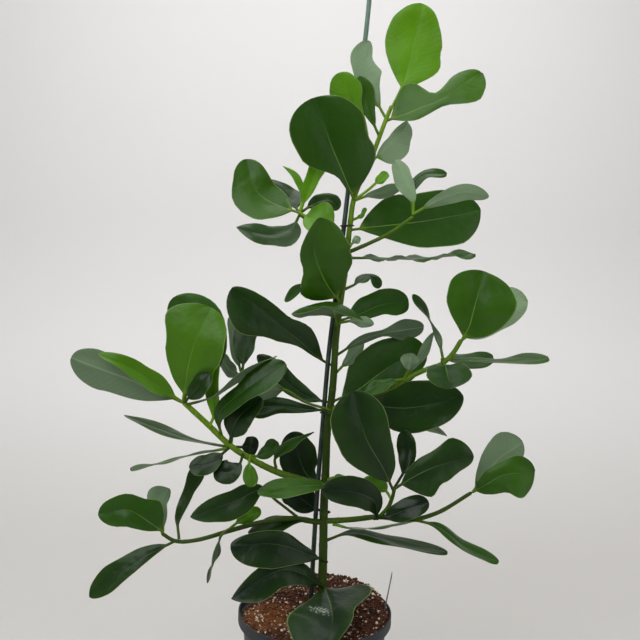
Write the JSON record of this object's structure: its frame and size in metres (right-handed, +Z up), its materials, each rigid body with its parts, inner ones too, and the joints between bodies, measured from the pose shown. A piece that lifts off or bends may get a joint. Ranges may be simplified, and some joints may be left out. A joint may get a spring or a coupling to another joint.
{
  "type": "potted clusia",
  "caption": "Bushy clusia with thick rounded leaves, tied to a slim stake in a plain tapered nursery pot with soil and a blank label.",
  "frame": {"origin": "centre of the pot's foot, on the plane that the pot stands on", "axes": "+Z up along the pot's axis, +X to the right and +Y away from the viewer as the picture shows the plant"},
  "size_m": [0.5727, 0.2184, 0.9683],
  "materials": {
    "pot": "dark grey moulded plastic, slightly dusty",
    "soil": "loose brown peat with white grains",
    "stake": "green plastic coating, satin",
    "tie": "dark soft plant wire",
    "label": "blank grey plastic, satin",
    "leaf": "thick waxy leaf, satin above and dull below"
  },
  "bodies": {
    "root": {"pot": "pot", "soil": "soil", "stake": "stake", "tie_lower": "tie", "tie_upper": "tie", "label": "label", "main_stem": "leaf", "branch_upper_right": "leaf", "branch_upper_left": "leaf", "branch_right": "leaf", "branch_low_right": "leaf", "branch_left": "leaf", "branch_low_left": "leaf"}
  },
  "joints": []
}
